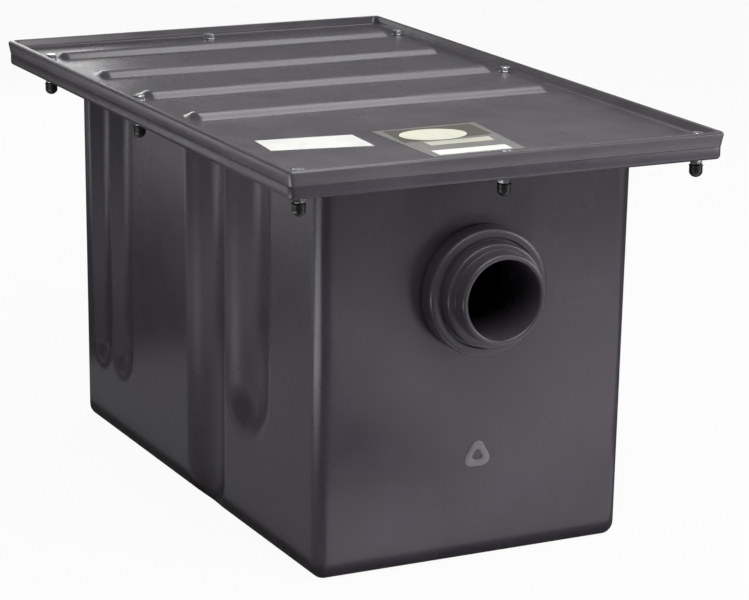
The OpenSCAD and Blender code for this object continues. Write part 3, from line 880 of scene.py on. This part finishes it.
def make_camera():
    """Camera at the eye's place, turned by pan, tilt and roll."""
    pan, tilt, roll = (math.radians(v) for v in (PAN, TILT, ROLL))
    back = Vector((math.sin(pan) * math.cos(tilt), -math.cos(pan) * math.cos(tilt), math.sin(tilt)))
    right = Vector((math.cos(pan), math.sin(pan), 0.0))
    up = back.cross(right)
    side = right * math.cos(roll) + up * math.sin(roll)
    top = up * math.cos(roll) - right * math.sin(roll)
    data = bpy.data.cameras.new("camera")
    data.sensor_fit = "HORIZONTAL"
    data.sensor_width = 36.0
    data.lens = FOCAL_PX * data.sensor_width / IMAGE_W
    data.clip_end = 50.0
    camera = linked("camera", data)
    turn = Matrix((side, top, back)).transposed().to_4x4()
    camera.matrix_world = Matrix.Translation(EYE) @ turn
    scene.camera = camera


def soft_light(name, place, aim, size, watts):
    """A white area lamp that the camera doesn't see."""
    data = bpy.data.lights.new(name, "AREA")
    data.shape = "RECTANGLE"
    data.size, data.size_y = size
    data.energy = watts
    light = linked(name, data)
    light.location = place
    light.visible_camera = False
    light.rotation_euler = (Vector(aim) - Vector(place)).to_track_quat("-Z", "Y").to_euler()


def floor_light(name, x, y, size, watts):
    """A lamp just over the floor that shines straight up, for the sheen of the upright walls."""
    soft_light(name, (x, y, 0.01), (x, y, 1.0), size, watts)


def pale_floor():
    """A pale floor that is nearly white to the camera, and dim in what mirrors it."""
    mesh = bpy.data.meshes.new("floor")
    reach = 8.0
    corners = [(-reach, -reach, 0), (reach, -reach, 0), (reach, reach, 0), (-reach, reach, 0)]
    mesh.from_pydata(corners, [], [(0, 1, 2, 3)])
    material, tree, shader = new_material("pale_floor", (0.6, 0.6, 0.6), 0.9)
    links = material.node_tree.links
    path = tree.add("ShaderNodeLightPath").outputs
    direct = tree.math("MULTIPLY", path["Is Camera Ray"], 0.95)
    seen = tree.math("ADD", direct, path["Is Glossy Ray"], True)
    mirrored = tree.math("MULTIPLY", path["Is Glossy Ray"], 0.06)
    glow = tree.math("ADD", path["Is Camera Ray"], mirrored, True)
    white = tree.add("ShaderNodeEmission", {"Color": (1.0, 1.0, 1.0, 1.0), "Strength": glow})
    mix = tree.add("ShaderNodeMixShader", {0: seen})
    links.new(shader.outputs[0], mix.inputs[1])
    links.new(white.outputs[0], mix.inputs[2])
    links.new(mix.outputs[0], material.node_tree.nodes["Material Output"].inputs["Surface"])
    floor = linked("floor", mesh)
    mesh.materials.append(material)


def studio_world():
    """A dim room that is white to the camera and through clear pieces."""
    world = bpy.data.worlds.new("studio")
    scene.world = world
    world.use_nodes = True
    tree = Tree(world.node_tree)
    links = world.node_tree.links
    path = tree.add("ShaderNodeLightPath").outputs
    direct = tree.math("ADD", path["Is Camera Ray"], path["Is Transmission Ray"], True)
    mirrored = tree.math("MULTIPLY", path["Is Glossy Ray"], 0.15)
    seen = tree.math("ADD", direct, mirrored, True)
    room = world.node_tree.nodes["Background"]
    room.inputs["Color"].default_value = (1.0, 1.0, 1.0, 1.0)
    room.inputs["Strength"].default_value = 0.05
    white = tree.add("ShaderNodeBackground", {"Color": (1.0, 1.0, 1.0, 1.0), "Strength": 1.0})
    mix = tree.add("ShaderNodeMixShader", {0: seen})
    links.new(room.outputs[0], mix.inputs[1])
    links.new(white.outputs[0], mix.inputs[2])
    links.new(mix.outputs[0], world.node_tree.nodes["World Output"].inputs["Surface"])


make_camera()
pale_floor()
studio_world()
soft_light("top", (0.7, -0.1, 1.15), (0.3, 0.0, 0.39), (0.8, 0.8), 11.5)
soft_light("back", (-1.08, 0.8, 1.95), (0.0, 0.0, 0.39), (1.0, 0.9), 8.0)
soft_light("front", (1.65, 0.8, 1.25), (0.3, 0.0, 0.3), (0.6, 0.5), 3.0)
soft_light("key", (1.61, 1.45, 0.45), (0.29, 0.0, 0.2), (0.7, 0.7), 11.0)
soft_light("far_side", (-0.3, 1.9, 0.8), (0.0, 0.16, 0.2), (1.0, 1.0), 10.0)
soft_light("far_end", (-2.0, 0.0, 0.6), (-0.29, 0.0, 0.2), (1.0, 0.8), 7.0)
floor_light("low_left", 0.3, -1.0, (0.75, 0.75), 7.5)
floor_light("low_flute", -0.4, -1.0, (0.65, 0.8), 1.0)
floor_light("low_back", -1.35, -0.95, (0.9, 0.4), 1.7)
floor_light("low_side", -0.05, -0.36, (0.8, 0.38), 0.24)
floor_light("low_right", 0.8, 0.45, (0.6, 0.7), 1.7)
floor_light("low_far", 1.6, 0.65, (0.6, 0.9), 0.7)
floor_light("low_front", 0.4, 0.1, (0.2, 0.5), 0.28)
